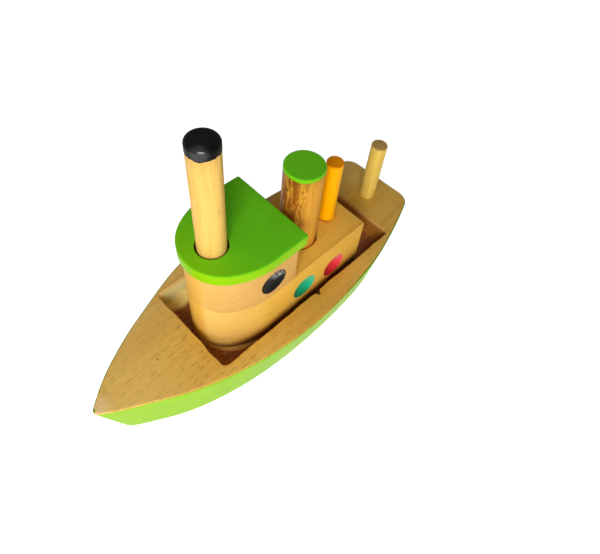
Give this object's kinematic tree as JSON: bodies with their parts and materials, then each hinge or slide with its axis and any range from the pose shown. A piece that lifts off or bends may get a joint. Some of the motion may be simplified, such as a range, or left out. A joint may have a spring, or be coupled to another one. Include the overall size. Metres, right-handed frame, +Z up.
{
  "type": "wooden toy boat",
  "caption": "Painted wooden toy boat: a hull with a milled well, a lift-out block cabin with dished portholes, a loose funnel, a loose dowel and glued pegs.",
  "frame": {"origin": "on the underside of the hull, below the middle of the overall length and beam", "axes": "+X towards the bow, +Y to port, +Z up"},
  "size_m": [0.188, 0.072, 0.138],
  "materials": {
    "hull_wood": "light green satin paint on the sides, bare varnished beech on the deck and in the well",
    "peg_wood": "bare beech, satin",
    "deckhouse_wood": "varnished beech with glossy turquoise and red paint in the portholes",
    "wheelhouse_wood": "varnished pale beech with glossy black paint in the porthole",
    "roof_paint": "satin green paint on wood",
    "orange_paint": "semi-gloss orange paint on wood",
    "funnel_wood": "bare beech with a dipped glossy black top",
    "dowel_wood": "streaky bare beech with a green painted top",
    "dowel_pin_wood": "unfinished, hidden"
  },
  "bodies": {
    "hull": {"hull": "hull_wood", "stern_peg": "peg_wood"},
    "cabin": {"deckhouse": "deckhouse_wood", "wheelhouse": "wheelhouse_wood", "roof": "roof_paint", "orange_peg": "orange_paint", "cabin_dowels": "dowel_pin_wood", "roof_dowels": "dowel_pin_wood"},
    "funnel": {"funnel": "funnel_wood"},
    "loose_dowel": {"loose_dowel": "dowel_wood"}
  },
  "joints": [
    {"name": "cabin_lift", "type": "slide", "parent": "hull", "child": "cabin", "axis": [0, 0, 1], "range_m": [0, 0.06]},
    {"name": "funnel_lift", "type": "slide", "parent": "cabin", "child": "funnel", "axis": [0, 0, 1], "range_m": [0, 0.06]},
    {"name": "dowel_lift", "type": "slide", "parent": "cabin", "child": "loose_dowel", "axis": [0, 0, 1], "range_m": [0, 0.05]}
  ]
}
